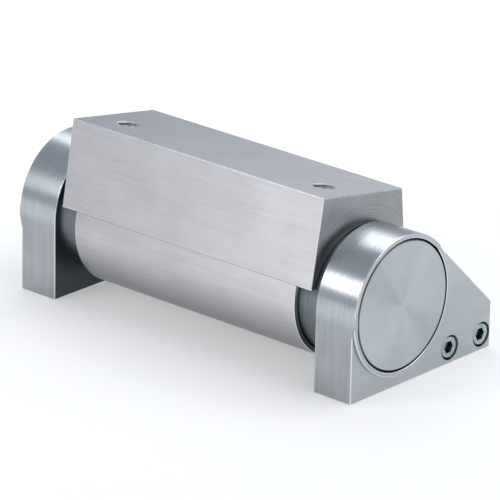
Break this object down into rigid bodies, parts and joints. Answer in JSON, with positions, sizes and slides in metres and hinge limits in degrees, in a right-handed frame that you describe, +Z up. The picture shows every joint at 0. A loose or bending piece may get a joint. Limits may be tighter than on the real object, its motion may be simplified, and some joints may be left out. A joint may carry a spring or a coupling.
{
  "type": "lift assist hinge",
  "caption": "Heavy satin steel hinge whose solid wing swings on hubs between side brackets, with torsion springs sealed in its barrel to help lift a lid.",
  "frame": {"origin": "on the base plane, midway between the two base holes", "axes": "+X along the hinge axis; +Y to the rear, towards the bracket feet; +Z up from the base"},
  "size_m": [0.1918, 0.0915, 0.083],
  "materials": {
    "wing_steel": "satin, ground along the hinge axis",
    "bracket_steel": "satin, ground",
    "turned_steel": "fine turned",
    "screw_steel": "bright, slightly blue",
    "black_screw_steel": "black oxide",
    "spring_steel": "drawn wire",
    "bush_bronze": "sintered bronze",
    "seal_rubber": "matte black"
  },
  "bodies": {
    "base": {"left_bracket": "bracket_steel", "right_bracket": "bracket_steel", "tie_bar": "bracket_steel", "left_foot_screws": "screw_steel", "right_foot_screws": "screw_steel", "left_hub": "turned_steel", "right_hub": "turned_steel", "left_hub_screw": "black_screw_steel", "right_hub_screw": "black_screw_steel", "left_end_cap": "turned_steel", "right_end_cap": "turned_steel", "left_cap_ring": "seal_rubber", "right_cap_ring": "seal_rubber", "spring_mandrel": "turned_steel", "left_spring": "spring_steel", "right_spring": "spring_steel"},
    "wing": {"wing_block": "wing_steel", "left_bush": "bush_bronze", "right_bush": "bush_bronze", "left_stop_screw": "black_screw_steel", "right_stop_screw": "black_screw_steel", "spring_anchor": "turned_steel", "anchor_screws": "black_screw_steel"}
  },
  "joints": [
    {"name": "wing_swing", "type": "hinge", "parent": "base", "child": "wing", "pos_m": [0, -0.044, 0.036], "axis": [1, 0, 0], "range_deg": [0, 100], "stiffness_Nm_per_rad": 15.6, "springref_deg": -11.46, "deforming": ["left_spring", "right_spring"]}
  ]
}
